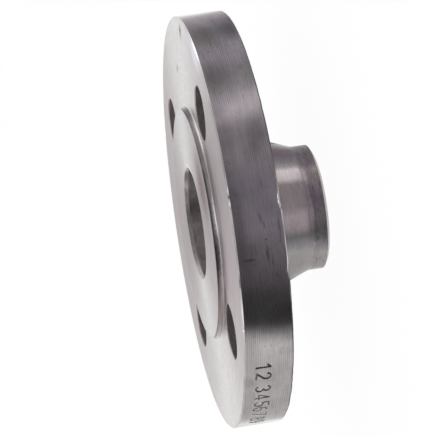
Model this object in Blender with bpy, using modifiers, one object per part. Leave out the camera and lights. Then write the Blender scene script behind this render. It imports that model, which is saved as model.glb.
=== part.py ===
"""Weld neck flange, nominal size 32, with four bolt holes.

One steel forging, turned all over: a flange plate with a raised sealing face,
and a tapered neck whose end is bevelled for a butt weld to the pipe.

Blender 4.5, metres, +Z up. The flange stands on its weld end at z = 0. The bore
runs along Z, and the raised sealing face is on top.
"""

import math

import bmesh
import bpy

PART_NAME = "weld_neck_flange"

# Bolt holes, straddling the X and Y axes
BOLT_CIRCLE_DIAMETER = 0.100
BOLT_HOLE_DIAMETER = 0.018
BOLT_COUNT = 4
FIRST_BOLT_ANGLE = math.radians(45)

# Flange plate, whose rim lies outside the bolt circle by a margin
RIM_MARGIN = 0.020
OVERALL_HEIGHT = 0.042
FLANGE_THICKNESS = 0.018

# Raised sealing face, inside the bolt holes by a margin, as high as part of the thickness
RAISED_FACE_MARGIN = 0.002
RAISED_FACE_HEIGHT = 0.002
RAISED_FACE_FILLET = 0.001

# Neck, measured at the end that meets the pipe and at the back of the flange
PIPE_DIAMETER = 0.0424
PIPE_WALL = 0.0026
STRAIGHT_END_LENGTH = 0.006
HUB_DIAMETER = 0.056
HUB_FILLET = 0.006

# Weld preparation on the neck's end
WELD_BEVEL_ANGLE = math.radians(30)
WELD_LAND = 0.001

# Edge breaks, all at 45 degrees
FRONT_RIM_BREAK = 0.0005
BACK_RIM_BREAK = 0.0007
RAISED_FACE_BREAK = 0.0003
BORE_BREAK = 0.0004
HOLE_BREAK = 0.0004

# Facets of the turned shapes
TURN_STEPS = 96
HOLE_STEPS = 40
HUB_FILLET_STEPS = 8
FACE_FILLET_STEPS = 3
CUTTER_OVERRUN = 0.001
MERGE_DISTANCE = 0.00001
SHARP_ANGLE = math.radians(25)

# Finish
STEEL_COLOUR = (0.42, 0.41, 0.42, 1.0)
STEEL_ROUGHNESS = 0.32

# Heights and radii that follow from the sizes above
BOLT_CIRCLE_RADIUS = BOLT_CIRCLE_DIAMETER / 2
BOLT_HOLE_RADIUS = BOLT_HOLE_DIAMETER / 2
FLANGE_RADIUS = BOLT_CIRCLE_RADIUS + RIM_MARGIN
RAISED_FACE_RADIUS = BOLT_CIRCLE_RADIUS - BOLT_HOLE_RADIUS - RAISED_FACE_MARGIN
FRONT_FACE_Z = OVERALL_HEIGHT - RAISED_FACE_HEIGHT
BACK_FACE_Z = OVERALL_HEIGHT - FLANGE_THICKNESS
BORE_RADIUS = PIPE_DIAMETER / 2 - PIPE_WALL


def clear_scene():
    """Remove every object of the start-up scene."""
    for obj in list(bpy.data.objects):
        bpy.data.objects.remove(obj, do_unlink=True)


def new_collection(name):
    """Add a collection to the scene."""
    collection = bpy.data.collections.new(name)
    bpy.context.scene.collection.children.link(collection)
    return collection


def rounded_corner(before, corner, after, radius, steps):
    """Points of the arc that touches both sides of a corner of the profile."""
    to_before = (before[0] - corner[0], before[1] - corner[1])
    to_after = (after[0] - corner[0], after[1] - corner[1])
    length_before = math.hypot(*to_before)
    length_after = math.hypot(*to_after)
    unit_before = (to_before[0] / length_before, to_before[1] / length_before)
    unit_after = (to_after[0] / length_after, to_after[1] / length_after)
    cosine = unit_before[0] * unit_after[0] + unit_before[1] * unit_after[1]
    half_angle = math.acos(cosine) / 2

    bisector = (unit_before[0] + unit_after[0], unit_before[1] + unit_after[1])
    bisector_length = math.hypot(*bisector)
    reach = radius / math.sin(half_angle)
    centre = (
        corner[0] + bisector[0] / bisector_length * reach,
        corner[1] + bisector[1] / bisector_length * reach,
    )
    tangent = radius / math.tan(half_angle)
    start = (corner[0] + unit_before[0] * tangent, corner[1] + unit_before[1] * tangent)
    end = (corner[0] + unit_after[0] * tangent, corner[1] + unit_after[1] * tangent)
    start_angle = math.atan2(start[1] - centre[1], start[0] - centre[0])
    end_angle = math.atan2(end[1] - centre[1], end[0] - centre[0])
    sweep = math.remainder(end_angle - start_angle, 2 * math.pi)
    points = []
    for step in range(steps + 1):
        angle = start_angle + sweep * step / steps
        points.append((centre[0] + radius * math.cos(angle), centre[1] + radius * math.sin(angle)))
    return points


def raised_face_profile():
    """Sealing face, its step and the fillet at the foot of the step."""
    points = [
        (BORE_RADIUS + BORE_BREAK, OVERALL_HEIGHT),
        (RAISED_FACE_RADIUS - RAISED_FACE_BREAK, OVERALL_HEIGHT),
        (RAISED_FACE_RADIUS, OVERALL_HEIGHT - RAISED_FACE_BREAK),
    ]
    points += rounded_corner(
        (RAISED_FACE_RADIUS, OVERALL_HEIGHT),
        (RAISED_FACE_RADIUS, FRONT_FACE_Z),
        (FLANGE_RADIUS, FRONT_FACE_Z),
        RAISED_FACE_FILLET,
        FACE_FILLET_STEPS,
    )
    return points


def rim_profile():
    """Rim of the flange with the edge break on each side."""
    return [
        (FLANGE_RADIUS - FRONT_RIM_BREAK, FRONT_FACE_Z),
        (FLANGE_RADIUS, FRONT_FACE_Z - FRONT_RIM_BREAK),
        (FLANGE_RADIUS, BACK_FACE_Z + BACK_RIM_BREAK),
        (FLANGE_RADIUS - BACK_RIM_BREAK, BACK_FACE_Z),
    ]


def neck_profile():
    """Hub fillet, taper, straight end at the pipe's size and weld bevel."""
    pipe_radius = PIPE_DIAMETER / 2
    taper_end = (pipe_radius, STRAIGHT_END_LENGTH)
    bevel_height = (PIPE_WALL - WELD_LAND) * math.tan(WELD_BEVEL_ANGLE)
    points = rounded_corner(
        (FLANGE_RADIUS, BACK_FACE_Z),
        (HUB_DIAMETER / 2, BACK_FACE_Z),
        taper_end,
        HUB_FILLET,
        HUB_FILLET_STEPS,
    )
    points += [
        taper_end,
        (pipe_radius, bevel_height),
        (BORE_RADIUS + WELD_LAND, 0.0),
    ]
    return points


def bore_profile():
    """Wall of the bore, from the weld end up to the sealing face."""
    return [
        (BORE_RADIUS, 0.0),
        (BORE_RADIUS, OVERALL_HEIGHT - BORE_BREAK),
    ]


def turned_object(name, profile, closed, steps, collection):
    """Profile in the XZ plane, turned about Z by a Screw modifier."""
    mesh = bpy.data.meshes.new(name)
    shape = bmesh.new()
    vertices = [shape.verts.new((radius, 0.0, height)) for radius, height in profile]
    for first, second in zip(vertices, vertices[1:]):
        shape.edges.new((first, second))
    if closed:
        shape.edges.new((vertices[-1], vertices[0]))
    shape.to_mesh(mesh)
    shape.free()

    obj = bpy.data.objects.new(name, mesh)
    collection.objects.link(obj)
    screw = obj.modifiers.new("Turn", "SCREW")
    screw.axis = "Z"
    screw.angle = 2 * math.pi
    screw.steps = steps
    screw.render_steps = steps
    screw.use_merge_vertices = True
    screw.merge_threshold = MERGE_DISTANCE
    return obj


def bolt_hole_cutter(number, collection):
    """Drill for one bolt hole, flared at both faces to break the edges."""
    flared = BOLT_HOLE_RADIUS + HOLE_BREAK + CUTTER_OVERRUN
    profile = [
        (0.0, OVERALL_HEIGHT + CUTTER_OVERRUN),
        (flared, OVERALL_HEIGHT + CUTTER_OVERRUN),
        (flared, FRONT_FACE_Z + CUTTER_OVERRUN),
        (BOLT_HOLE_RADIUS, FRONT_FACE_Z - HOLE_BREAK),
        (BOLT_HOLE_RADIUS, BACK_FACE_Z + HOLE_BREAK),
        (flared, BACK_FACE_Z - CUTTER_OVERRUN),
        (0.0, BACK_FACE_Z - CUTTER_OVERRUN),
    ]
    name = f"bolt_hole_cutter_{number + 1}"
    cutter = turned_object(name, profile, False, HOLE_STEPS, collection)
    angle = FIRST_BOLT_ANGLE + 2 * math.pi * number / BOLT_COUNT
    cutter.location = (BOLT_CIRCLE_RADIUS * math.cos(angle), BOLT_CIRCLE_RADIUS * math.sin(angle), 0.0)
    cutter.rotation_euler = (0.0, 0.0, angle)
    cutter.hide_render = True
    cutter.display_type = "WIRE"
    return cutter


def steel_material():
    """Bare turned carbon steel."""
    material = bpy.data.materials.new("turned_steel")
    material.use_nodes = True
    shader = material.node_tree.nodes["Principled BSDF"]
    shader.inputs["Base Color"].default_value = STEEL_COLOUR
    shader.inputs["Metallic"].default_value = 1.0
    shader.inputs["Roughness"].default_value = STEEL_ROUGHNESS
    material.diffuse_color = STEEL_COLOUR
    return material


def keep_result(obj):
    """Replace the modifiers by their result and shade it smooth up to its sharp edges."""
    bpy.context.view_layer.update()
    evaluated = obj.evaluated_get(bpy.context.evaluated_depsgraph_get())
    result = bpy.data.meshes.new_from_object(evaluated)
    result.name = obj.name
    obj.modifiers.clear()
    obj.data = result
    result.shade_smooth()
    result.set_sharp_from_angle(angle=SHARP_ANGLE)


def build_flange(parts, cutters):
    """Turn the flange, drill the bolt holes and give it its finish."""
    profile = raised_face_profile() + rim_profile() + neck_profile() + bore_profile()
    flange = turned_object(PART_NAME, profile, True, TURN_STEPS, parts)
    for number in range(BOLT_COUNT):
        cutter = bolt_hole_cutter(number, cutters)
        drill = flange.modifiers.new(f"Bolt hole {number + 1}", "BOOLEAN")
        drill.operation = "DIFFERENCE"
        drill.solver = "EXACT"
        drill.object = cutter
    keep_result(flange)
    flange.data.materials.clear()
    flange.data.materials.append(steel_material())
    return flange


def main():
    """Build the whole part."""
    clear_scene()
    parts = new_collection(PART_NAME)
    cutters = new_collection("cutters")
    build_flange(parts, cutters)


main()
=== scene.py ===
"""Weld neck flange, nominal size 32: one steel forging, turned all over, with its studio.

Metres, +Z up. The flange stands on its weld end, with the raised sealing face on top.
"""

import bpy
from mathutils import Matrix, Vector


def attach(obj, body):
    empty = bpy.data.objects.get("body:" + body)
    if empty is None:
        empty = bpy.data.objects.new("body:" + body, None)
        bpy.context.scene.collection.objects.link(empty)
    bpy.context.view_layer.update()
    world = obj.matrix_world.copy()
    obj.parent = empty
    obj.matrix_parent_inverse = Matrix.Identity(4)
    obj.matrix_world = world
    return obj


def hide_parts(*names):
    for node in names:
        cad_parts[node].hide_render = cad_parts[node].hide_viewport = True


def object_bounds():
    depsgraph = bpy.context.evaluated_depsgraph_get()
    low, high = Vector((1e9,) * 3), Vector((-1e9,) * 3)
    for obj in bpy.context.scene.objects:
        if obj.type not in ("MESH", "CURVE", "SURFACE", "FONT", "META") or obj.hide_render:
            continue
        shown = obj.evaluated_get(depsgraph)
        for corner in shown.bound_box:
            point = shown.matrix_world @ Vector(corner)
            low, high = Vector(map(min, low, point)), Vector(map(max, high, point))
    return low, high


bl_info = {
    "name": "Weld Neck Flange",
    "version": (1, 0, 0),
    "blender": (4, 5, 0),
    "location": "View3D > Sidebar > Flange",
    "description": "Turned steel weld neck flange with stamped figures, and its studio",
    "category": "Add Mesh",
}

import math
import random
from collections import namedtuple

import bmesh
import bpy
from mathutils import Matrix, Vector, noise

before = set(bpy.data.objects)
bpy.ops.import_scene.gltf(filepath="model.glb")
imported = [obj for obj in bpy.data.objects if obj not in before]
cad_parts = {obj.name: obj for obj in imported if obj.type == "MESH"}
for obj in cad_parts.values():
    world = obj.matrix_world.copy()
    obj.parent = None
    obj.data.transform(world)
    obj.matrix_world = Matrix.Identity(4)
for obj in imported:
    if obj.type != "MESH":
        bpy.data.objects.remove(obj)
CAD_LOW, CAD_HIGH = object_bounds()
CAD_NODE = "weld_neck_flange"
CAD_BODY = "root"

MILLIMETRE = 0.001
MICROMETRE = 0.000001
MERGE_DISTANCE = 0.000001
SHARP_ANGLE = math.radians(18.5)
SWEEP_STEPS = 96
SEED = 32


def linear(hex_colour):
    """Linear red, green, blue and alpha of an sRGB hex colour."""
    channels = []
    for start in (0, 2, 4):
        value = int(hex_colour[start:start + 2], 16) / 255
        channels.append(value / 12.92 if value <= 0.04045 else ((value + 0.055) / 1.055) ** 2.4)
    return (*channels, 1.0)


def darker(colour, share, green=1.0, blue=1.0):
    """A colour with its light scaled, and its green and blue scaled again."""
    return (colour[0] * share, colour[1] * share * green, colour[2] * share * blue, 1.0)


def length_property(name, description, metres):
    """Property that holds a length."""
    return bpy.props.FloatProperty(name=name, description=description, default=metres, unit="LENGTH")


def colour_property(name, description, hex_colour):
    """Property that holds a colour, given as an sRGB hex colour."""
    return bpy.props.FloatVectorProperty(
        name=name, description=description, default=linear(hex_colour), subtype="COLOR", size=4)


class FlangeSizes(bpy.types.PropertyGroup):
    """Sizes of the turned flange, with the whole ones read from the frame."""

    height: length_property("Height", "From the weld end to the raised face", CAD_HIGH.z - CAD_LOW.z)
    diameter: length_property("Flange diameter", "Outside diameter of the rim", CAD_HIGH.x - CAD_LOW.x)
    thickness: length_property("Thickness", "Flange thickness with the raised face", 0.018)
    face_diameter: length_property("Raised face", "Diameter of the raised sealing face", 0.078)
    face_height: length_property("Face height", "Height of the raised face over the flange", 0.002)
    face_fillet: length_property("Face fillet", "Radius at the foot of the raised face", 0.0018)
    pipe_diameter: length_property("Pipe diameter", "Outside diameter of the weld end", 0.0424)
    pipe_wall: length_property("Pipe wall", "Wall thickness at the weld end", 0.0026)
    straight_length: length_property("Straight end", "Length of the neck at the pipe's size", 0.006)
    hub_diameter: length_property("Hub diameter", "Diameter of the taper at the flange's back", 0.056)
    hub_fillet: length_property("Hub fillet", "Radius between the hub and the flange's back", 0.006)
    weld_land: length_property("Weld land", "Flat left at the root of the weld bevel", 0.001)
    weld_angle: bpy.props.FloatProperty(
        name="Weld bevel", description="Angle of the weld bevel from the end face",
        default=math.radians(30), subtype="ANGLE")
    bolt_circle: length_property("Bolt circle", "Diameter of the circle of bolt holes", 0.100)
    bolt_hole: length_property("Bolt hole", "Diameter of each bolt hole", 0.018)
    bolt_count: bpy.props.IntProperty(
        name="Bolt holes", description="Number of bolt holes", default=4)
    neck_blend: length_property("Neck blend", "Radius between the taper and the straight end", 0.004)
    mouth_depth: length_property("Mouth depth", "Depth of the bevel at the bore's mouth", 0.0013)
    mouth_width: length_property("Mouth width", "Width of the bevel at the bore's mouth", 0.00045)
    edge_break: length_property("Edge break", "Bevel left by the file on the rim's edges", 0.00045)
    hole_break: length_property("Hole edge break", "Bevel on the bolt holes' edges", 0.0003)
    figure_height: length_property("Figure height", "Height of the figures stamped in the rim", 0.0047)
    figure_depth: length_property("Figure depth", "Depth of the stamped figures", 0.00026)
    figures: bpy.props.StringProperty(
        name="Figures", description="Plain figures stamped in the rim", default="12 3456789")


class SteelFinish(bpy.types.PropertyGroup):
    """Colours of the bare steel and of the marks on it."""

    faced: colour_property("Faced steel", "Colour of the faced surfaces", "CAC8C7")
    turned: colour_property("Turned steel", "Colour of the turned rim", "D6D3D4")
    neck: colour_property("Neck steel", "Colour of the turned neck", "C6C1C0")
    bored: colour_property("Bored steel", "Colour of the bore", "D2CACC")
    drilled: colour_property("Drilled steel", "Colour of the bolt holes' walls", "B2ADAC")
    stain: colour_property("Stain", "Brown film left where cutting oil dried", "8A7A6A")
    # Bright: fresh steel at knocked edges, and also the tone of painted highlights and a painted reflection
    bright: colour_property("Bright", "Fresh steel where an edge was knocked", "EEEDF2")
    # Painted shade: a darker patch on the sealing face's near side, in place of a dimmer reflection there
    mauve: colour_property("Mauve", "Thin film of oil on the sealing face", "947879")
    # Also the tone of painted shade that some marks put on the step, the bore's mouth and the bore
    soil: colour_property("Soil", "Dark oxide in stamped and bruised places", "3A3436")


class StudioLevels(bpy.types.PropertyGroup):
    """Levels and tints of the studio, and the place of its camera."""

    camera_location: bpy.props.FloatVectorProperty(
        name="Camera", description="Place of the camera",
        default=(0.01394, -0.68804, 0.13284), subtype="TRANSLATION")
    camera_azimuth: bpy.props.FloatProperty(
        name="Camera azimuth", description="Direction from the flange to the camera",
        default=math.radians(-88.895), subtype="ANGLE")
    camera_elevation: bpy.props.FloatProperty(
        name="Camera elevation", description="Height of the camera above the horizon",
        default=math.radians(8.220), subtype="ANGLE")
    camera_roll: bpy.props.FloatProperty(
        name="Camera roll", description="Turn of the camera about its line of sight",
        default=math.radians(-98.265), subtype="ANGLE")
    lens: bpy.props.FloatProperty(
        name="Lens", description="Focal length on a 36 mm sensor",
        default=168.37, unit="CAMERA")
    ambient: bpy.props.FloatProperty(
        name="Ambient light", description="Level of the plain light from all round", default=1.0)
    floor_white: bpy.props.FloatProperty(
        name="Floor white", description="Share of the floor's white that no shadow dims",
        default=0.96, min=0.0, max=1.0)
    white: colour_property("White", "Colour of the plain sheets", "FFFFFF")
    warm: colour_property("Warm", "Warm pink of the canopy", "FFECF2")
    blush: colour_property("Blush", "Faint pink of some sheets", "FFF9FE")
    rose: colour_property("Rose", "Pink of some sheets", "FFF3FD")
    plum: colour_property("Plum", "Lavender of the dim sheets", "F8EAFF")
    cream: colour_property("Cream", "Faint yellow of some sheets", "FFFEFB")
    cool: colour_property("Cool", "Faint blue of some sheets", "F4F7FF")


def add(name, data):
    """Put an object in the scene, in place of the one that an earlier run made."""
    old = bpy.data.objects.get(name)
    if old is not None:
        bpy.data.objects.remove(old, do_unlink=True)
    obj = bpy.data.objects.new(name, data)
    bpy.context.scene.collection.objects.link(obj)
    return obj


def sweep(name, profile):
    """Mesh of a profile of radii and heights, swept all the way round Z."""
    mesh = bpy.data.meshes.new(name)
    shape = bmesh.new()
    vertices = [shape.verts.new((x, 0.0, z)) for x, z in profile]
    edges = [shape.edges.new(pair) for pair in zip(vertices, vertices[1:])]
    bmesh.ops.spin(
        shape, geom=vertices + edges, cent=(0, 0, 0), axis=(0, 0, 1), angle=2 * math.pi, steps=SWEEP_STEPS)
    bmesh.ops.remove_doubles(shape, verts=shape.verts, dist=MERGE_DISTANCE)
    bmesh.ops.recalc_face_normals(shape, faces=shape.faces)
    shape.to_mesh(mesh)
    shape.free()
    return mesh


def rounded_corner(before, corner, after, radius, steps):
    """Points of the arc that touches both sides of a corner of the profile."""
    corner = Vector(corner)
    to_before = (Vector(before) - corner).normalized()
    to_after = (Vector(after) - corner).normalized()
    half_angle = to_before.angle(to_after) / 2
    centre = corner + (to_before + to_after).normalized() * (radius / math.sin(half_angle))
    tangent = radius / math.tan(half_angle)
    start = corner + to_before * tangent - centre
    end = corner + to_after * tangent - centre
    start_angle = math.atan2(start.y, start.x)
    swing = math.remainder(math.atan2(end.y, end.x) - start_angle, 2 * math.pi)
    points = []
    for step in range(steps + 1):
        angle = start_angle + swing * step / steps
        points.append((centre.x + radius * math.cos(angle), centre.y + radius * math.sin(angle)))
    return points


def evenly(start, end, spacing):
    """Heights from start to end, about spacing apart, both ends included."""
    count = max(1, round(abs(end - start) / spacing))
    return [start + (end - start) * step / count for step in range(count + 1)]


# Small roundings of the profile's corners, and the steps of its arcs
MOUTH_ROUND = 0.00012
FACE_ROUND = 0.00010
WELD_ROUND = 0.00015
MOUTH_STEPS = 2
FACE_STEPS = 6
FILLET_STEPS = 18
BLEND_STEPS = 10
WELD_STEPS = 4

# Step round the rim where it has no marks, and place of the first bolt hole
WIDE_STEP = math.radians(1.0)
FIRST_BOLT_ANGLE = math.radians(45)

# Edge of the sealing face that belongs to the step, and foot of the step that doesn't
STEP_EDGE = 0.0003
STEP_FOOT = 0.0003

# Where the figures are stamped on the rim: angles about +Z, shares of the pitch for a space and
# for the fine steps past both ends, heights over the weld end, and a share of a figure's height
STAMP_START = math.radians(-131.5)
STAMP_PITCH = math.radians(3.75)
STAMP_SPACE = 0.5
STAMP_LEAD = 0.6
STAMP_TAIL = 0.2
STAMP_HEIGHT = 0.0337
STAMP_MARGIN = 0.0005
STAMP_GRID = 0.00015
STAMP_REACH = 0.6
FIGURE_MIDDLE = Vector((0.3, 0.5))

# Section of a stroke: its power, its burr's place and spread in half widths of the stroke, and
# the share of its depth past which its oxide begins
STROKE_WIDTH = 0.00070
STROKE_POWER = 1.5
BURR_HEIGHT = 0.00006
BURR_PLACE = 1.5
BURR_SPREAD = 0.5
OXIDE_SHARE = 0.40

# How far a hand-stamped figure strays: degrees, millimetres, degrees, and shares of its depth
STRAY_ANGLE = 0.25
STRAY_HEIGHT = 0.1
STRAY_TILT = 3.0
STRAY_DEPTH = (0.75, 1.1)

Dent = namedtuple("Dent", "angle height along across depth")

# Bruises on the rim's edges, in degrees about +Z and millimetres
DENTS = (
    Dent(-85.6, 24.0, 3.4, 1.1, 0.40),
    Dent(-87.9, 24.0, 0.7, 0.9, 0.30),
    Dent(-104.0, 24.0, 3.2, 0.9, 0.30),
    Dent(-106.7, 40.0, 0.8, 0.7, 0.28),
    Dent(-81.4, 40.0, 1.2, 0.6, 0.22),
    Dent(-148.0, 24.0, 4.5, 0.8, 0.16),
    Dent(-141.0, 24.0, 1.6, 0.8, 0.15),
    Dent(-13.8, 40.0, 0.9, 0.5, 0.15),
    Dent(62.0, 40.0, 1.1, 0.7, 0.25),
    Dent(118.0, 24.0, 2.4, 1.0, 0.40),
)
DENT_POWER = 1.3

# Bruised stretch of the rim that is turned in finer steps
BRUISE_BEGIN = math.radians(-92.0)
BRUISE_END = math.radians(-79.0)
BRUISE_STEPS = 36

# Rows of points beside the rim's edges, and how uneven the edges are: the zone, the depth of
# each edge's dips, their reach, and the scale of their noise round the rim and between the edges
EDGE_INSETS = (0.0009, 0.0013, 0.0018, 0.0025)
EDGE_ZONE = 0.0026
ROUGH_EDGE = 0.00007
ROUGH_BACK_EDGE = 0.00020
ROUGH_REACH = 0.0008
ROUGH_AROUND = 32
ROUGH_ACROSS = 900


def face_heights(sizes):
    """Heights of the flange's front and back over the weld end."""
    return sizes.height - sizes.face_height, sizes.height - sizes.thickness


def flange_profile(sizes):
    """Closed profile of the flange: down its outer side, then up the bore."""
    top = sizes.height
    front, back = face_heights(sizes)
    rim = sizes.diameter / 2
    face = sizes.face_diameter / 2
    pipe = sizes.pipe_diameter / 2
    bore = pipe - sizes.pipe_wall
    land = bore + sizes.weld_land
    bevel = (sizes.pipe_wall - sizes.weld_land) * math.tan(sizes.weld_angle)
    hub_corner = (sizes.hub_diameter / 2, back)
    taper_end = (pipe, sizes.straight_length)
    weld_corner = (pipe, bevel)

    mouth = (bore + sizes.mouth_width, top)
    mouth_foot = (bore, top - sizes.mouth_depth)
    points = [mouth_foot]
    points += rounded_corner(mouth_foot, mouth, (face, top), MOUTH_ROUND, MOUTH_STEPS)
    points += rounded_corner((bore, top), (face, top), (face, front), FACE_ROUND, FACE_STEPS)
    points += rounded_corner((face, top), (face, front), (rim, front), sizes.face_fillet, FILLET_STEPS)
    points += [(rim - inset, front) for inset in reversed(EDGE_INSETS)]
    points += [(rim - sizes.edge_break, front), (rim, front - sizes.edge_break)]
    points += [(rim, height) for height in rim_rows(sizes)]
    points += [(rim, back + sizes.edge_break), (rim - sizes.edge_break, back)]
    points += [(rim - inset, back) for inset in EDGE_INSETS]
    points += rounded_corner((rim, back), hub_corner, taper_end, sizes.hub_fillet, FILLET_STEPS)
    points += rounded_corner(hub_corner, taper_end, weld_corner, sizes.neck_blend, BLEND_STEPS)
    points += rounded_corner(taper_end, weld_corner, (land, 0.0), WELD_ROUND, WELD_STEPS)
    points += [(land, 0.0), (bore, 0.0)]
    return points


def stamp_band(sizes):
    """Lowest and highest point of the band of rim that takes the figures."""
    reach = sizes.figure_height / 2 + STAMP_MARGIN
    return STAMP_HEIGHT - reach, STAMP_HEIGHT + reach


def rim_rows(sizes):
    """Heights of the rows of points on the rim, close together where it is marked."""
    front, back = face_heights(sizes)
    low, high = stamp_band(sizes)
    rows = [front - inset for inset in EDGE_INSETS]
    rows += evenly(high, low, STAMP_GRID)
    rows += [back + inset for inset in reversed(EDGE_INSETS)]
    return rows


def turn(mesh, sizes):
    """Turn the profile about Z in zones, with narrow steps where the rim is marked."""
    stamp_end = STAMP_START - STAMP_PITCH * (len(sizes.figures) - STAMP_TAIL)
    stamp_begin = STAMP_START + STAMP_PITCH * STAMP_LEAD
    turn_end = stamp_end + 2 * math.pi
    grid = STAMP_GRID / (sizes.diameter / 2)
    zones = (
        (stamp_end, stamp_begin, round((stamp_begin - stamp_end) / grid)),
        (stamp_begin, BRUISE_BEGIN, round((BRUISE_BEGIN - stamp_begin) / WIDE_STEP)),
        (BRUISE_BEGIN, BRUISE_END, BRUISE_STEPS),
        (BRUISE_END, turn_end, round((turn_end - BRUISE_END) / WIDE_STEP)),
    )
    shape = bmesh.new()
    start = Matrix.Rotation(zones[0][0], 4, "Z")
    loop = [shape.verts.new(start @ Vector((x, 0.0, z))) for x, z in flange_profile(sizes)]
    edges = [shape.edges.new(pair) for pair in zip(loop, loop[1:] + loop[:1])]
    section = loop + edges
    for first, last, steps in zones:
        turned = bmesh.ops.spin(
            shape, geom=section, cent=(0, 0, 0), axis=(0, 0, 1), angle=last - first, steps=steps)
        section = turned["geom_last"]
    bmesh.ops.remove_doubles(shape, verts=shape.verts, dist=MERGE_DISTANCE)
    bmesh.ops.recalc_face_normals(shape, faces=shape.faces)
    shape.to_mesh(mesh)
    shape.free()


def arc(centre_x, centre_y, radius_x, radius_y, start, end, steps=9):
    """Points of an arc of a stroke, with its angles in degrees."""
    points = []
    for step in range(steps + 1):
        angle = math.radians(start + (end - start) * step / steps)
        points.append((centre_x + radius_x * math.cos(angle), centre_y + radius_y * math.sin(angle)))
    return points


def figure_strokes(figure):
    """Centre lines of one plain figure, in a box 0.6 wide and 1 high."""
    strokes = {
        "0": [arc(0.3, 0.5, 0.28, 0.5, 0, 360, 20)],
        "1": [[(0.12, 0.80), (0.34, 1.0), (0.34, 0.0)]],
        "2": [arc(0.3, 0.70, 0.28, 0.30, 165, -35) + [(0.02, 0.0), (0.58, 0.0)]],
        "3": [arc(0.28, 0.75, 0.26, 0.25, 150, -80), arc(0.28, 0.26, 0.30, 0.26, 80, -150)],
        "4": [[(0.58, 0.28), (0.02, 0.28), (0.42, 1.0), (0.42, 0.0)]],
        "5": [[(0.54, 1.0), (0.10, 1.0), (0.06, 0.54)] + arc(0.27, 0.31, 0.30, 0.31, 125, -145)],
        "6": [arc(0.3, 0.30, 0.27, 0.30, 0, 360, 16), arc(0.52, 0.36, 0.50, 0.64, 105, 185)],
        "7": [[(0.03, 1.0), (0.57, 1.0), (0.20, 0.0)]],
        "8": [arc(0.3, 0.76, 0.23, 0.24, 0, 360, 14), arc(0.3, 0.26, 0.28, 0.26, 0, 360, 16)],
        "9": [arc(0.3, 0.70, 0.27, 0.30, 0, 360, 16), arc(0.08, 0.64, 0.50, 0.64, -75, 5)],
    }
    return strokes[figure]


def stamped_segments(sizes, rng):
    """Each figure's strokes as short segments on the unrolled rim, in metres, with its depth."""
    rim = sizes.diameter / 2
    placed = []
    place = STAMP_START
    for figure in sizes.figures:
        if figure == " ":
            place -= STAMP_PITCH * STAMP_SPACE
            continue
        angle = place + math.radians(rng.uniform(-STRAY_ANGLE, STRAY_ANGLE))
        place -= STAMP_PITCH
        stray = rng.uniform(-STRAY_HEIGHT, STRAY_HEIGHT) * MILLIMETRE
        middle = Vector((-angle * rim, -STAMP_HEIGHT + stray))
        tilt = Matrix.Rotation(math.radians(rng.uniform(-STRAY_TILT, STRAY_TILT)), 2)
        depth = sizes.figure_depth * rng.uniform(*STRAY_DEPTH)
        segments = []
        for stroke in figure_strokes(figure):
            offsets = [(Vector(point) - FIGURE_MIDDLE) * sizes.figure_height for point in stroke]
            path = [middle + tilt @ offset for offset in offsets]
            segments += list(zip(path, path[1:]))
        placed.append((middle, segments, depth))
    return placed


def stamp(shape, sizes):
    """Press the figures into the rim, with a low burr along each stroke."""
    rim = sizes.diameter / 2
    low, high = stamp_band(sizes)
    figures = stamped_segments(sizes, random.Random(SEED))
    reach = sizes.figure_height * STAMP_REACH
    for vertex in shape.verts:
        flat = Vector((vertex.co.x, vertex.co.y))
        if not low < vertex.co.z < high or flat.length < rim - MERGE_DISTANCE * 10:
            continue
        unrolled = Vector((-math.atan2(flat.y, flat.x) * rim, -vertex.co.z))
        for middle, segments, depth in figures:
            if (unrolled - middle).length > reach:
                continue
            distance = min(gap_to_segment(unrolled, first, last) for first, last in segments)
            across = distance / (STROKE_WIDTH / 2)
            sink = depth * max(0.0, 1.0 - across ** STROKE_POWER) if across < 1.0 else 0.0
            burr = BURR_HEIGHT * math.exp(-((across - BURR_PLACE) / BURR_SPREAD) ** 2)
            flat = flat.normalized() * (flat.length - sink + burr)
        vertex.co.x, vertex.co.y = flat
        if flat.length < rim - sizes.figure_depth * OXIDE_SHARE:
            for face in vertex.link_faces:
                face.material_index = FINISHES.index("stamped")


def gap_to_segment(point, first, last):
    """Distance from a point to a segment in the plane."""
    along = last - first
    share = (point - first).dot(along) / along.length_squared
    return (point - first - along * min(1.0, max(0.0, share))).length


def bruise(shape, sizes):
    """Push the rim's edges in where they were knocked, and leave them a little uneven."""
    rim = sizes.diameter / 2
    front, back = face_heights(sizes)
    for vertex in shape.verts:
        flat = Vector((vertex.co.x, vertex.co.y))
        if flat.length < rim - EDGE_ZONE or vertex.co.z < back - MILLIMETRE:
            continue
        angle = math.atan2(flat.y, flat.x)
        outward = flat.normalized()
        for edge, rough, inward in ((front, ROUGH_EDGE, -1.0), (back, ROUGH_BACK_EDGE, 1.0)):
            from_edge = math.hypot(flat.length - rim, vertex.co.z - edge)
            push = Vector((-outward.x, -outward.y, inward)).normalized()
            fade = math.exp(-(from_edge / ROUGH_REACH) ** 2)
            place = Vector((outward.x * ROUGH_AROUND, outward.y * ROUGH_AROUND, edge * ROUGH_ACROSS))
            vertex.co += push * rough * fade * max(0.0, noise.noise(place))
        for dent in DENTS:
            turned = math.remainder(angle - math.radians(dent.angle), 2 * math.pi)
            edge = dent.height * MILLIMETRE
            along = turned * rim / (dent.along * MILLIMETRE)
            across = math.hypot(flat.length - rim, vertex.co.z - edge) / (dent.across * MILLIMETRE)
            share = 1.0 - along * along - across * across
            if share > 0.0:
                inward = -1.0 if edge > (front + back) / 2 else 1.0
                push = Vector((-outward.x, -outward.y, inward)).normalized()
                vertex.co += push * dent.depth * MILLIMETRE * share ** DENT_POWER


FINISHES = (
    "faced", "sealing", "step", "rim", "neck", "end", "mouth", "bored", "drilled", "edge", "back_edge",
    "stamped")


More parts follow.
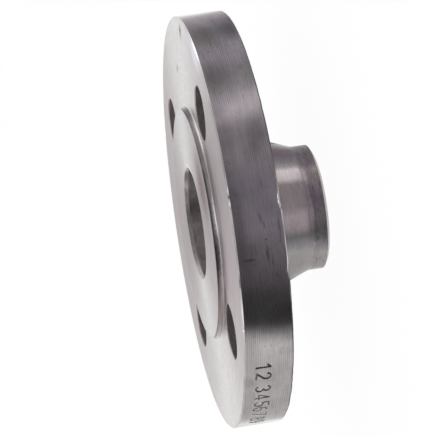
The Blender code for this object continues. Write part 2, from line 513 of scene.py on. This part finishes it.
def finish_of(face, sizes):
    """Which of the flange's finishes a face of the turned mesh has."""
    centre = face.calc_center_median()
    radius = math.hypot(centre.x, centre.y)
    rim = sizes.diameter / 2
    front, back = face_heights(sizes)
    bore = sizes.pipe_diameter / 2 - sizes.pipe_wall
    step = sizes.face_diameter / 2
    tolerance = 0.05 * MILLIMETRE
    if radius > rim - sizes.edge_break - tolerance:
        if centre.z > front - sizes.edge_break:
            return "edge"
        if centre.z < back + sizes.edge_break:
            return "back_edge"
        return "rim"
    if radius < bore + tolerance:
        return "bored"
    if radius < bore + sizes.mouth_width and centre.z > back:
        return "mouth"
    if centre.z > sizes.height - tolerance / 2:
        return "sealing"
    # The step's finish darkens this corner as painted shade
    if step - STEP_EDGE < radius < step + sizes.face_fillet and centre.z > front + STEP_FOOT:
        return "step"
    if centre.z > back - tolerance:
        return "faced"
    return "neck" if centre.z > sizes.straight_length else "end"


def bolt_hole_cutter(number, sizes, material):
    """Drill for one bolt hole, flared at both faces to break the edges."""
    radius = sizes.bolt_hole / 2
    front, back = face_heights(sizes)
    over = MILLIMETRE
    flared = radius + sizes.hole_break + over
    profile = (
        (0.0, front + over), (flared, front + over), (radius, front - sizes.hole_break),
        (radius, back + sizes.hole_break), (flared, back - over), (0.0, back - over),
    )
    mesh = sweep("bolt_hole_cutter", profile)
    mesh.materials.append(material)
    cutter = add(f"bolt_hole_cutter_{number + 1}", mesh)
    angle = FIRST_BOLT_ANGLE + 2 * math.pi * number / sizes.bolt_count
    cutter.location = Vector((math.cos(angle), math.sin(angle), 0.0)) * (sizes.bolt_circle / 2)
    return cutter


def drill(flange, sizes):
    """Cut the bolt holes; their walls keep the drilled steel."""
    cutters = []
    for number in range(sizes.bolt_count):
        cutter = bolt_hole_cutter(number, sizes, flange.data.materials[FINISHES.index("drilled")])
        cut = flange.modifiers.new(f"Bolt hole {number + 1}", "BOOLEAN")
        cut.object = cutter
        cut.material_mode = "TRANSFER"
        cutters.append(cutter)
    bpy.context.view_layer.update()
    evaluated = flange.evaluated_get(bpy.context.evaluated_depsgraph_get())
    drilled = bpy.data.meshes.new_from_object(evaluated)
    flange.modifiers.clear()
    flange.data = drilled
    for cutter in cutters:
        bpy.data.objects.remove(cutter, do_unlink=True)


def node(tree, kind, inputs=None, **settings):
    """Add a node with its settings, its plain inputs and its links; a node gives its first output."""
    made = tree.nodes.new(kind)
    for name, value in settings.items():
        setattr(made, name, value)
    for name, value in (inputs or {}).items():
        socket = made.inputs[name]
        if isinstance(value, bpy.types.Node):
            value = value.outputs[0]
        if isinstance(value, bpy.types.NodeSocket):
            tree.links.new(value, socket)
        else:
            socket.default_value = value
    return made


def empty_material(name):
    """New material whose node tree is empty."""
    material = bpy.data.materials.new(name)
    material.use_nodes = True
    material.node_tree.nodes.clear()
    return material


# A finish of the steel: its clean and worn colours, roughness and anisotropy, its fine lines'
# pitch in millimetres and height in micrometres, its broad bands' pitch in millimetres, and the
# shares of smears, dried oil, dark streaks, specks, feed marks and a darker band along the front edge
Steel = namedtuple(
    "Steel",
    "colour worn roughness anisotropy line_mm line_bump_um band_mm smear stain streaks grain feed oil",
    defaults=(0.0,))

# Pitch of the tool's feed marks; the real ones are finer, and drawn coarser so that they show
FEED_PITCH = 0.00067
FEED_PATCH_MM = 14.0

# Sizes of the steel's smears, specks and dashes, and of the noise that makes its marks ragged
SMEAR_MM = 11.0
SPECK_MM = 1.1
DASH_MM = 0.5
JITTER_MM = 10 / 7

# Reach of that noise, full share of a mark, height of the steel's low waves, and share of the
# broad bands among the fine lines
RAGGED_EDGE = 0.0012
MARK_CORE = 0.3
WAVE_HEIGHT = 0.000012
BAND_SHARE = 0.40

# Darker band along the rim's front edge, as heights over the weld end
RIM_BAND_START = 0.0345
RIM_BAND_END = 0.0370

# Marks on the steel, some of them painted highlights and painted shade: a place as an angle about
# +Z in degrees, a radius and a height, its half sizes round the axis and across it, all in
# millimetres, then the tone and its share
Mark = namedtuple("Mark", "angle radius height along across tone share")
MARKS = {
    "rim": (
        Mark(-32, 70, 35, 9, 5.5, "stain", 0.34),
        Mark(-49, 70, 36, 9, 6, "soil", 0.25),
        Mark(-100, 70, 36, 0.6, 2.4, "soil", 0.50),
        Mark(-98.8, 70, 30.1, 3.6, 0.5, "soil", 0.50),
        Mark(-101, 70, 28.9, 2.6, 0.5, "soil", 0.40),
        Mark(-90, 70, 31.2, 2.2, 0.5, "soil", 0.40),
        Mark(-91.6, 70, 30.2, 1.8, 0.5, "soil", 0.40),
        Mark(-93, 70, 25.6, 6, 0.5, "soil", 0.40),
        Mark(-72, 70, 29, 3.5, 2.5, "stain", 0.25),
        Mark(-30, 70, 27, 8, 4, "soil", 0.30),
        Mark(-67, 70, 28, 7, 3.5, "soil", 0.22),
        Mark(-106.7, 70, 39.3, 0.9, 0.5, "soil", 0.80),
        Mark(-92, 70, 38, 16, 2.6, "soil", 0.30),
    ),
    "edge": (
        Mark(-81.9, 70, 39.8, 1.7, 1, "bright", 0.90),
        Mark(-85.2, 70, 39.6, 1.3, 1, "bright", 0.90),
        Mark(-83.4, 70, 39.7, 0.7, 1, "soil", 0.80),
        # Painted highlight on the front edge
        Mark(-119.1, 70, 39.6, 0.6, 0.8, "bright", 1.00),
        Mark(-105.5, 70, 39.7, 3, 1, "soil", 0.60),
        # The next two are painted highlights along the front edge
        Mark(-114, 70, 39.7, 6.5, 1, "bright", 0.80),
        Mark(-37.5, 70, 39.7, 9, 1, "bright", 0.90),
    ),
    "back_edge": (
        Mark(-102.6, 70, 24.2, 3.2, 1.2, "bright", 1.00),
        Mark(-110.5, 70, 24.2, 3, 1.2, "bright", 1.00),
        Mark(-150, 70, 24.2, 4, 1.2, "soil", 0.90),
    ),
    "faced": (
        Mark(-13.6, 65.6, 40, 0.9, 3.4, "soil", 1.00),
        Mark(-15.6, 66.4, 40, 0.7, 2.4, "soil", 0.80),
        # Painted reflection: a bright streak on the face by the rim
        Mark(-37.5, 67.2, 40, 10, 4.2, "bright", 1.00),
        Mark(3.6, 53, 40, 3.5, 1.6, "stain", 0.35),
        Mark(-132, 41.5, 40, 13, 3, "stain", 0.35),
        # Painted highlight: a light line along the foot of the step
        Mark(-100, 40.6, 40.1, 30, 1.3, "bright", 0.80),
    ),
    "sealing": (
        # Painted shade: darker patch on the near side of the sealing face
        Mark(-66, 31, 42, 15, 9, "mauve", 0.40),
        # Painted highlight: a light line on the bore's lip
        Mark(-15, 19.3, 42, 9, 0.6, "bright", 1.00),
    ),
    "step": (
        Mark(-140, 40, 40.6, 12, 2, "stain", 0.50),
        # Painted shade on the step's top, then a painted highlight line on its fillet, then a dark band of
        # painted shade
        Mark(-22, 39.6, 41.2, 24, 2.6, "soil", 0.42),
        Mark(-86, 39.4, 40.4, 12, 0.9, "bright", 0.50),
        Mark(-106, 39.2, 41.2, 13, 1.1, "soil", 0.75),
    ),
    "mouth": (
        # Painted shade inside the bore's mouth, darker at these places round it
        Mark(30, 18.8, 41.4, 6, 3, "soil", 0.55),
        Mark(86, 18.8, 41.4, 6, 3, "soil", 0.55),
        Mark(108, 18.8, 41.4, 6, 3, "soil", 0.35),
        Mark(126, 18.8, 41.4, 3, 3, "soil", 0.20),
    ),
    "bored": (
        # Painted shade: a dark patch on the far wall of the bore
        Mark(75, 18.6, 37, 4.5, 14, "soil", 0.55),
    ),
}


def steel_material(name, steel, finish, marks):
    """Bare carbon steel with the tool's lines running round the axis."""
    material = empty_material(name)
    tree = material.node_tree
    soil, stain, oily = tuple(finish.soil), tuple(finish.stain), darker(finish.soil, 3.0)

    place = node(tree, "ShaderNodeTexCoord").outputs["Object"]
    flat = node(tree, "ShaderNodeVectorMath", {0: place, 1: (1, 1, 0)}, operation="MULTIPLY")
    radius = node(tree, "ShaderNodeVectorMath", {0: flat}, operation="LENGTH").outputs["Value"]
    around = node(tree, "ShaderNodeVectorMath", {0: flat}, operation="NORMALIZE")
    height = node(tree, "ShaderNodeSeparateXYZ", {0: place}).outputs["Z"]
    travel = node(tree, "ShaderNodeMath", {0: radius, 1: height}, operation="ADD")
    feed = node(tree, "ShaderNodeCombineXYZ", {"Z": travel})

    def rings(pitch_mm, spread, detail):
        """Noise drawn out round the axis, with a given pitch across it."""
        wide = node(
            tree, "ShaderNodeVectorMath", {0: around, 1: (spread, spread, 0)}, operation="MULTIPLY")
        scale = (1, 1, 1 / (pitch_mm * MILLIMETRE))
        at = node(tree, "ShaderNodeVectorMath", {0: feed, 1: scale, 2: wide}, operation="MULTIPLY_ADD")
        return node(tree, "ShaderNodeTexNoise", {"Vector": at, "Scale": 1.0, "Detail": detail})

    def blotches(size_mm, detail):
        """Plain noise of a given size."""
        scale = 1 / (size_mm * MILLIMETRE)
        return node(tree, "ShaderNodeTexNoise", {"Vector": place, "Scale": scale, "Detail": detail})

    def stretch(value, low, high, to_low, to_high):
        """Stretch a noise value to a range."""
        return node(
            tree, "ShaderNodeMapRange",
            {"Value": value, "From Min": low, "From Max": high, "To Min": to_low, "To Max": to_high})

    def blend(share, first, second):
        """Mix two colours."""
        return node(
            tree, "ShaderNodeMix", {"Factor": share, 6: first, 7: second}, data_type="RGBA").outputs[2]

    def mark(colours, one):
        """Tint the colours round one place, with a ragged edge."""
        angle = math.radians(one.angle)
        centre = Vector((math.cos(angle) * one.radius, math.sin(angle) * one.radius, one.height))
        local = node(
            tree, "ShaderNodeMapping",
            {"Vector": ragged, "Location": centre * MILLIMETRE, "Rotation": (0, 0, angle),
             "Scale": Vector((one.across, one.along, one.across)) * MILLIMETRE},
            vector_type="TEXTURE")
        away = node(tree, "ShaderNodeVectorMath", {0: local}, operation="LENGTH").outputs["Value"]
        share = stretch(away, 1.0, MARK_CORE, 0.0, one.share)
        return [blend(share, colour, tuple(getattr(finish, one.tone))) for colour in colours]

    lines = rings(steel.line_mm, spread=9.0, detail=1.0)
    bands = rings(steel.band_mm, spread=2.2, detail=2.0)
    dashes = rings(DASH_MM, spread=11.0, detail=2.0)
    smears = blotches(SMEAR_MM, detail=4.0)
    waves = blotches(SMEAR_MM, detail=1.0)
    specks = blotches(SPECK_MM, detail=2.0)
    feed_patches = blotches(FEED_PATCH_MM, detail=1.0)

    feed_marks = node(
        tree, "ShaderNodeTexWave", {"Vector": feed, "Scale": math.pi / (10 * FEED_PITCH)},
        wave_type="BANDS", bands_direction="Z").outputs["Fac"]

    line_tone = stretch(lines, 0.32, 0.68, 0.0, 1.0)
    band_tone = stretch(bands, 0.32, 0.68, 0.0, 1.0)
    tone = node(tree, "ShaderNodeMix", {"Factor": BAND_SHARE, 2: line_tone, 3: band_tone})
    base = blend(tone, steel.worn, steel.colour)
    marked = stretch(feed_patches, 0.46, 0.60, 0.0, steel.feed)
    feed_share = node(tree, "ShaderNodeMath", {0: feed_marks, 1: marked}, operation="MULTIPLY")
    base = blend(feed_share, base, soil)
    base = blend(stretch(smears, 0.46, 0.70, 0.0, steel.smear), base, oily)
    base = blend(stretch(smears, 0.54, 0.38, 0.0, steel.stain), base, stain)
    base = blend(stretch(dashes, 0.60, 0.74, 0.0, steel.streaks), base, soil)
    base = blend(stretch(specks, 0.66, 0.80, 0.0, steel.grain), base, soil)
    # Darker towards the rim's front edge, in the smears' dark tone
    base = blend(stretch(height, RIM_BAND_START, RIM_BAND_END, 0.0, steel.oil), base, oily)

    # Sheen at a flat angle: white on clean steel, and each mark's own tone where it lies
    sheen = (1.0, 1.0, 1.0, 1.0)
    if marks:
        jitter = node(
            tree, "ShaderNodeTexNoise",
            {"Vector": place, "Scale": 1 / (JITTER_MM * MILLIMETRE), "Detail": 2.0}).outputs["Color"]
        centred = node(tree, "ShaderNodeVectorMath", {0: jitter, 1: (0.5, 0.5, 0.5)}, operation="SUBTRACT")
        ragged = node(
            tree, "ShaderNodeVectorMath", {0: centred, 1: (RAGGED_EDGE,) * 3, 2: place},
            operation="MULTIPLY_ADD")
        for one in marks:
            base, sheen = mark((base, sheen), one)

    dull = stretch(smears, 0.35, 0.70, steel.roughness - 0.005, steel.roughness + 0.015)
    rough = node(
        tree, "ShaderNodeMath", {0: dull, 1: stretch(bands, 0.3, 0.7, -0.006, 0.006)}, operation="ADD")

    fine = node(
        tree, "ShaderNodeBump",
        {"Height": lines, "Strength": 1.0, "Distance": steel.line_bump_um * MICROMETRE})
    wavy = node(
        tree, "ShaderNodeBump",
        {"Height": waves, "Strength": 1.0, "Distance": WAVE_HEIGHT, "Normal": fine})
    round_axis = node(tree, "ShaderNodeTangent", direction_type="RADIAL", axis="Z")
    shader = node(tree, "ShaderNodeBsdfPrincipled", {
        "Base Color": base,
        "Specular Tint": sheen,
        "Metallic": 1.0,
        "Roughness": rough,
        "Anisotropic": steel.anisotropy,
        "Anisotropic Rotation": 0.25,
        "Normal": wavy,
        "Tangent": round_axis,
    })
    node(tree, "ShaderNodeOutputMaterial", {"Surface": shader})
    return material


def flange_materials(finish):
    """One finish of the same carbon steel for each way its surface was made."""
    faced, turned, neck = tuple(finish.faced), tuple(finish.turned), tuple(finish.neck)
    bored, drilled = tuple(finish.bored), tuple(finish.drilled)
    kinds = {
        # Faced on the lathe: broad bright rings with a satin sheen
        "faced": Steel(
            faced, darker(faced, 0.82, 0.95, 0.97), 0.30, 0.75, 1.20, 6, 5.0, 0.10, 0.10, 0.05, 0.08, 0.05),
        # Sealing face: closer rings, a little darker than the faced steel
        "sealing": Steel(
            darker(faced, 0.88), darker(faced, 0.72, 0.95, 0.97), 0.30, 0.75, 1.00, 6, 4.0,
            0.10, 0.15, 0.05, 0.08, 0.05),
        # Step of the raised face: darkened as painted shade in its corner
        "step": Steel(
            darker(faced, 0.60, 0.94, 0.97), darker(faced, 0.42, 0.92, 0.96), 0.24, 0.70, 0.50, 6, 1.5,
            0.2, 0.1, 0.0, 0.1, 0.0),
        # Turned rim: fine lines round it, darker towards its front edge
        "rim": Steel(
            turned, darker(turned, 0.84), 0.17, 1.0, 0.50, 3, 2.2, 0.30, 0.10, 0.20, 0.50, 0.24, oil=0.14),
        # Turned neck: as the rim, warmed by a film of dried oil
        "neck": Steel(neck, darker(neck, 0.82), 0.20, 0.96, 0.50, 6, 1.8, 0.20, 0.25, 0.20, 0.20, 0.15),
        # Straight end of the neck: duller, with darker streaks
        "end": Steel(neck, darker(neck, 0.70), 0.20, 0.96, 0.50, 6, 1.4, 0.25, 0.25, 0.50, 0.20, 0.15),
        # Bevel at the bore's mouth
        "mouth": Steel(
            darker(faced, 0.92), darker(faced, 0.60), 0.33, 0.60, 0.60, 6, 2.0, 0.6, 0.3, 0.2, 0.2, 0.0),
        # Bored wall: coarser lines, less light gets in
        "bored": Steel(bored, darker(bored, 0.66), 0.36, 0.70, 0.70, 12, 2.4, 0.7, 0.2, 0.3, 0.25, 0.1),
        # Drilled wall: rough and dark
        "drilled": Steel(
            drilled, darker(drilled, 0.60), 0.45, 0.40, 0.60, 15, 2.0, 0.4, 0.15, 0.3, 0.3, 0.0),
        # Filed front edge: worn bright
        "edge": Steel(
            faced, darker(faced, 0.75), 0.33, 0.40, 0.80, 3, 1.2, 0.3, 0.1, 0.1, 0.1, 0.0),
        # Rear edge: knocked, darkened as painted shade where it faces down, with stains of dried oil
        "back_edge": Steel(
            darker(faced, 0.75), darker(faced, 0.40), 0.36, 0.40, 0.80, 3, 1.2, 0.4, 0.6, 0.5, 0.4, 0.0),
        # Stamped strokes: the same steel pressed in, with oxide in the bottom
        "stamped": Steel(
            darker(turned, 0.36), darker(turned, 0.20), 0.36, 0.0, 0.60, 0, 2.0, 0.1, 0.0, 0.0, 0.1, 0.0),
    }
    return [
        steel_material(f"{kind}_carbon_steel", kinds[kind], finish, MARKS.get(kind, ()))
        for kind in FINISHES
    ]


class FLANGE_OT_turned_flange(bpy.types.Operator):
    """Turn, stamp and drill the flange, and give it its steel"""

    bl_idname = "flange.turned_flange"
    bl_label = "Turned flange"

    def execute(self, context):
        sizes = context.scene.flange_sizes
        mesh = bpy.data.meshes.new("turned_flange")
        turn(mesh, sizes)
        for material in flange_materials(context.scene.flange_finish):
            mesh.materials.append(material)
        flange = add("turned_flange", mesh)

        shape = bmesh.new()
        shape.from_mesh(mesh)
        for face in shape.faces:
            face.material_index = FINISHES.index(finish_of(face, sizes))
        stamp(shape, sizes)
        bruise(shape, sizes)
        shape.to_mesh(mesh)
        shape.free()

        drill(flange, sizes)
        flange.data.shade_smooth()
        flange.data.set_sharp_from_angle(angle=SHARP_ANGLE)
        even = flange.modifiers.new("Even shading", "WEIGHTED_NORMAL")
        even.keep_sharp = True
        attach(flange, CAD_BODY)
        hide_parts(CAD_NODE)
        return {"FINISHED"}


# Glowing sheets swept round the flange, seen in its reflections alone. A profile is pairs
# of radius and height; a stop is an angle from the camera's side, in degrees, a level and
# the name of one of the studio's tints. UNDER is the height of those along the floor.
Sheet = namedtuple("Sheet", "name profile stops")
Stop = namedtuple("Stop", "angle level tint", defaults=("white",))
UNDER = 0.0009


def stops(*rows):
    """Stops from rows of an angle, a level and, where it isn't white, a tint."""
    return tuple(Stop(*row) for row in rows)


COLLAR_STOPS = stops(
    (-180, 0.9), (-84, 0.56), (-52, 0.66), (-41, 0.46, "cool"),
    (-33, 0.25, "cool"), (-24, 0.19, "cool"), (-14.5, 0.24, "cool"),
    (-6, 0.25, "plum"), (12, 0.27, "plum"), (25.5, 0.38, "rose"), (32, 0.40, "rose"),
    (40, 0.54, "rose"), (48, 0.36, "plum"), (56, 0.32, "rose"), (68, 0.28, "rose"),
    (102, 0.5), (180, 0.9))


def further_out(near_stops, factor, dim):
    """The same stops further round and dimmer, for a sheet that lies further out."""
    return tuple(
        stop._replace(angle=max(-180, min(180, stop.angle * factor)), level=stop.level * dim)
        for stop in near_stops)


SHEETS = (
    # Floor close by, that the taper mirrors
    Sheet("near_sheet", ((0.0235, UNDER), (0.048, UNDER)), stops(
        (-180, 0.9), (-110, 0.60), (-83, 0.60), (-56, 0.78), (-44, 0.50, "cool"),
        (-33, 0.30, "cool"), (-22, 0.57, "rose"), (-8, 0.62, "rose"),
        (2, 0.42, "rose"), (20, 0.42, "rose"), (31, 0.47, "rose"),
        (38, 1.10, "blush"), (50, 1.36, "blush"), (56, 0.68, "blush"),
        (65, 0.43, "cool"), (80, 0.32, "plum"), (96, 0.31, "rose"), (120, 0.7),
        (180, 0.9))),
    # Low collar close round the straight end, that it mirrors
    Sheet("collar", ((0.0213, UNDER), (0.0235, UNDER), (0.0235, 0.0046)), COLLAR_STOPS),
    # Ring of floor past the taper's share, that the top of the straight end mirrors
    Sheet("outer_ring", ((0.048, UNDER), (0.060, UNDER)), further_out(COLLAR_STOPS, 1.465, 0.55)),
    # Floor under the rim, that its rear edge mirrors
    Sheet("under_sheet", ((0.060, UNDER), (0.085, UNDER)), stops(
        (-180, 0.3), (-24, 0.25), (-16, 1.6), (-9, 1.6), (-6, 0.4),
        (-4, 1.7), (9, 1.5), (14, 0.3), (180, 0.4))),
    # Floor further out, that the rim mirrors
    Sheet("far_sheet", ((0.085, UNDER), (0.62, UNDER)), stops(
        (-180, 1.0, "cream"), (-154, 0.82, "cream"), (-141, 1.05, "cream"),
        (-129, 0.62, "cream"), (-117, 0.60, "cream"), (-94, 0.60, "cream"),
        (-82, 0.67, "cream"), (-71, 0.80, "cream"), (-58.4, 0.90, "cream"),
        (-55.6, 0.11), (-50, 0.025, "blush"), (-38, 0.027, "blush"), (-30, 0.11, "plum"),
        (-16, 0.175, "rose"), (-6, 0.28, "plum"), (5, 0.27, "plum"),
        (16, 0.28, "plum"), (27, 0.35, "rose"), (36, 0.29, "rose"),
        (44, 0.37, "rose"), (49, 0.76, "rose"), (56, 0.62, "rose"),
        (62, 0.30, "blush"), (72, 0.17, "blush"), (87, 0.37, "plum"),
        (104, 0.16, "cool"), (116, 0.19, "plum"), (127, 0.39, "rose"),
        (138, 0.55, "blush"), (150, 1.0), (180, 1.4))),
    # Wall at the edge of the floor, dark behind the camera
    Sheet("wall", ((0.62, UNDER), (0.62, 0.26)), stops(
        (-180, 1.05), (-150, 1.15), (-130, 1.0), (-90, 0.8), (-70, 0.6),
        (-60, 0.12), (42, 0.12), (56, 0.5), (90, 0.85), (130, 1.05),
        (150, 1.15), (180, 1.05))),
    # Low canopy, brighter to one side behind the flange, that both faces mirror
    Sheet("canopy", ((0.62, 0.26), (0.52, 0.62)), stops(
        (-180, 0.66, "warm"), (-165, 0.72, "warm"), (-152, 0.58, "warm"),
        (-135, 0.95, "blush"), (-100, 0.95, "blush"), (-80, 0.64),
        (-60, 0.60), (60, 0.60), (110, 0.50, "warm"), (132, 1.0, "cool"),
        (150, 1.35, "cool"), (158, 0.75, "warm"), (167, 0.32, "warm"),
        (180, 0.42, "warm"))),
    # High canopy, dim behind the flange and brighter at its sides
    Sheet("canopy_high", ((0.52, 0.62), (0.50, 0.75), (0.12, 0.83)), stops(
        (-180, 0.36, "warm"), (-150, 0.42, "warm"), (-128, 1.3, "blush"),
        (-85, 1.3, "blush"), (-60, 0.60), (60, 0.60),
        (92, 0.55, "warm"), (108, 1.35), (128, 1.35), (145, 0.38, "warm"),
        (180, 0.28, "warm"))),
    # Bright middle of the canopy
    Sheet("canopy_top", ((0.12, 0.83), (0.0, 0.83)), stops((-180, 2.0), (180, 2.0))),
)


def only_reflected(obj):
    """Show a sheet of the studio in reflections alone."""
    for ray in ("camera", "diffuse", "shadow", "transmission", "volume_scatter"):
        setattr(obj, f"visible_{ray}", False)


def sheet_glow(sheet, levels):
    """Plain glow whose level follows the sheet's stops round the flange."""
    material = empty_material(sheet.name)
    tree = material.node_tree
    place = node(tree, "ShaderNodeTexCoord").outputs["Object"]
    angle = node(tree, "ShaderNodeTexGradient", {"Vector": place}, gradient_type="RADIAL").outputs[1]
    ramp = node(tree, "ShaderNodeValToRGB", {"Fac": angle})
    peak = max(stop.level for stop in sheet.stops)
    elements = ramp.color_ramp.elements
    elements[1].position = 1.0
    for stop in sheet.stops:
        ends = {-180: elements[0], 180: elements[len(elements) - 1]}
        element = ends.get(stop.angle) or elements.new((stop.angle + 180) / 360)
        tint = getattr(levels, stop.tint)
        element.color = (*(channel * stop.level / peak for channel in tint[:3]), 1.0)
    glow = node(tree, "ShaderNodeEmission", {"Color": ramp, "Strength": peak})
    node(tree, "ShaderNodeOutputMaterial", {"Surface": glow})
    return material


def build_sheets(levels):
    """Sweep every sheet round the flange, turned to the camera's side."""
    for sheet in SHEETS:
        mesh = sweep(sheet.name, sheet.profile)
        mesh.materials.append(sheet_glow(sheet, levels))
        swept = add(sheet.name, mesh)
        swept.rotation_euler.z = levels.camera_azimuth
        only_reflected(swept)


# Plain floor: its colour, its radius, and its gap under the weld end
FLOOR_COLOUR = linear("F4F4F4")
FLOOR_RADIUS = 6.0
FLOOR_GAP = 0.00005

# Point inside the flange that the lamp looks at
LAMP_TARGET = Vector((0.0, 0.0, 0.03))


def direction(azimuth, elevation):
    """Unit vector towards an azimuth and an elevation."""
    level = math.cos(elevation)
    return Vector((math.cos(azimuth) * level, math.sin(azimuth) * level, math.sin(elevation)))


def build_lamp(name, azimuth, elevation, distance, size, power):
    """Square soft box that looks at the flange."""
    data = bpy.data.lights.new(name, "AREA")
    data.size = size
    data.energy = power
    lamp = add(name, data)
    towards = direction(math.radians(azimuth), math.radians(elevation))
    lamp.location = LAMP_TARGET + towards * distance
    lamp.rotation_euler = towards.to_track_quat("Z", "Y").to_euler()


def white_to_eye(tree, lit, share):
    """Mix a surface with plain white for what the camera, mirrors and glass see."""
    path = node(tree, "ShaderNodeLightPath").outputs
    seen = path["Is Camera Ray"]
    for ray in ("Is Glossy Ray", "Is Transmission Ray"):
        seen = node(tree, "ShaderNodeMath", {0: seen, 1: path[ray]}, operation="MAXIMUM")
    part = node(tree, "ShaderNodeMath", {0: seen, 1: share}, operation="MULTIPLY")
    kind = "ShaderNodeBackground" if lit.type == "BACKGROUND" else "ShaderNodeEmission"
    white = node(tree, kind, {"Color": (1, 1, 1, 1), "Strength": 1.0})
    return node(tree, "ShaderNodeMixShader", {0: part, 1: lit, 2: white})


def build_floor(levels):
    """Plain pale floor that keeps the flange's shadow."""
    mesh = bpy.data.meshes.new("floor")
    shape = bmesh.new()
    bmesh.ops.create_circle(shape, cap_ends=True, radius=FLOOR_RADIUS, segments=SWEEP_STEPS)
    shape.to_mesh(mesh)
    shape.free()
    material = empty_material("pale_floor")
    tree = material.node_tree
    matt = node(tree, "ShaderNodeBsdfDiffuse", {"Color": FLOOR_COLOUR})
    seen = white_to_eye(tree, matt, levels.floor_white)
    node(tree, "ShaderNodeOutputMaterial", {"Surface": seen})
    mesh.materials.append(material)
    floor = add("floor", mesh)
    floor.location.z = -FLOOR_GAP


def build_world(levels):
    """Plain light from all round, white where it is seen."""
    world = bpy.data.worlds.new("studio")
    bpy.context.scene.world = world
    world.use_nodes = True
    tree = world.node_tree
    tree.nodes.clear()
    plain = node(tree, "ShaderNodeBackground", {"Color": (1, 1, 1, 1), "Strength": levels.ambient})
    node(tree, "ShaderNodeOutputWorld", {"Surface": white_to_eye(tree, plain, 1.0)})


def build_camera(levels):
    """Camera at the picture's place, turned on its side as the picture is."""
    data = bpy.data.cameras.new("camera")
    data.lens = levels.lens
    camera = add("camera", data)
    azimuth = levels.camera_azimuth
    back = direction(azimuth, levels.camera_elevation)
    level = Vector((-math.sin(azimuth), math.cos(azimuth), 0.0))
    right = Matrix.Rotation(levels.camera_roll, 3, back) @ level
    up = back.cross(right)
    turned = Matrix((right, up, back)).transposed().to_4x4()
    camera.matrix_world = Matrix.Translation(levels.camera_location) @ turned
    bpy.context.scene.camera = camera


class FLANGE_OT_studio(bpy.types.Operator):
    """Set up the floor, the world, the sheets, the lamp and the camera"""

    bl_idname = "flange.studio"
    bl_label = "Studio"

    def execute(self, context):
        levels = context.scene.flange_studio
        build_floor(levels)
        build_world(levels)
        build_sheets(levels)
        build_lamp("back_lamp", azimuth=40.0, elevation=40.0, distance=0.55, size=0.25, power=0.25)
        build_camera(levels)
        context.scene.view_settings.view_transform = "Standard"
        return {"FINISHED"}


class FLANGE_PT_panel(bpy.types.Panel):
    """Sizes, finish and studio of the flange"""

    bl_idname = "FLANGE_PT_panel"
    bl_label = "Weld neck flange"
    bl_space_type = "VIEW_3D"
    bl_region_type = "UI"
    bl_category = "Flange"

    def draw(self, context):
        scene = context.scene
        for group in (scene.flange_sizes, scene.flange_finish, scene.flange_studio):
            box = self.layout.box()
            for name in group.bl_rna.properties.keys():
                if name not in ("rna_type", "name"):
                    box.prop(group, name)
        for operator in OPERATORS:
            self.layout.operator(operator.bl_idname)


OPERATORS = (FLANGE_OT_turned_flange, FLANGE_OT_studio)
CLASSES = (FlangeSizes, SteelFinish, StudioLevels, *OPERATORS, FLANGE_PT_panel)


def register():
    """Register the classes and hang the property groups on the scene."""
    for one in CLASSES:
        bpy.utils.register_class(one)
    bpy.types.Scene.flange_sizes = bpy.props.PointerProperty(type=FlangeSizes)
    bpy.types.Scene.flange_finish = bpy.props.PointerProperty(type=SteelFinish)
    bpy.types.Scene.flange_studio = bpy.props.PointerProperty(type=StudioLevels)


def unregister():
    """Take the property groups off the scene and the classes away."""
    del bpy.types.Scene.flange_studio
    del bpy.types.Scene.flange_finish
    del bpy.types.Scene.flange_sizes
    for one in reversed(CLASSES):
        bpy.utils.unregister_class(one)


def main():
    """Build the flange and its studio."""
    register()
    bpy.ops.flange.turned_flange()
    bpy.ops.flange.studio()


if __name__ == "__main__":
    main()
